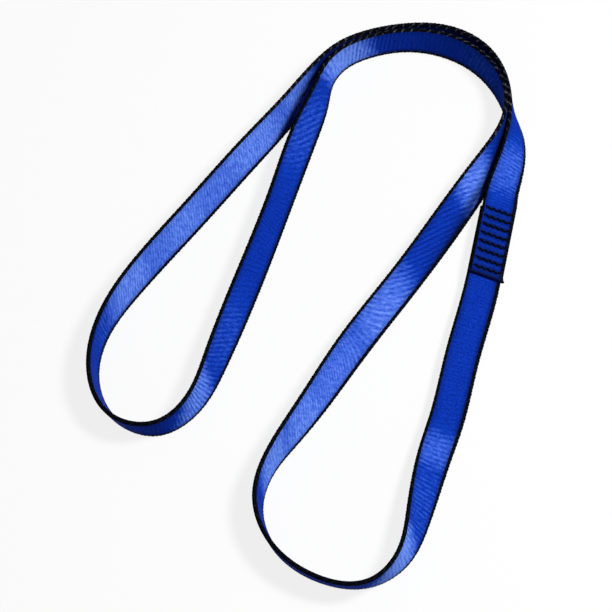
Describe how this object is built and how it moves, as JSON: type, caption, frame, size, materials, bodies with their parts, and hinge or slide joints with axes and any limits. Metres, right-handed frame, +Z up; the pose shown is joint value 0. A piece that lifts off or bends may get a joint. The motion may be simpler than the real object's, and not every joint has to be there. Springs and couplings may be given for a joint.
{
  "type": "climbing sling",
  "caption": "Endless sewn webbing sling laid flat in a horseshoe, its two ends lapped and joined by a ladder of bar tacks.",
  "frame": {"origin": "on the ground, under the middle of the sling's box as it lies", "axes": "+Z up from the ground, +Y towards the arch where two strands lie side by side, +X towards the bar-tacked joint; both open loops point to -Y"},
  "size_m": [0.1648, 0.281, 0.016],
  "materials": {
    "webbing": "woven royal blue nylon with black selvedges, soft sheen",
    "tack_thread": "twisted black nylon sewing thread"
  },
  "bodies": {
    "root": {"webbing_tape": "webbing", "needle_thread_1": "tack_thread", "bobbin_thread_1": "tack_thread", "needle_thread_2": "tack_thread", "bobbin_thread_2": "tack_thread", "needle_thread_3": "tack_thread", "bobbin_thread_3": "tack_thread", "needle_thread_4": "tack_thread", "bobbin_thread_4": "tack_thread", "needle_thread_5": "tack_thread", "bobbin_thread_5": "tack_thread", "needle_thread_6": "tack_thread", "bobbin_thread_6": "tack_thread", "needle_thread_7": "tack_thread", "bobbin_thread_7": "tack_thread", "needle_thread_8": "tack_thread", "bobbin_thread_8": "tack_thread"}
  },
  "joints": []
}
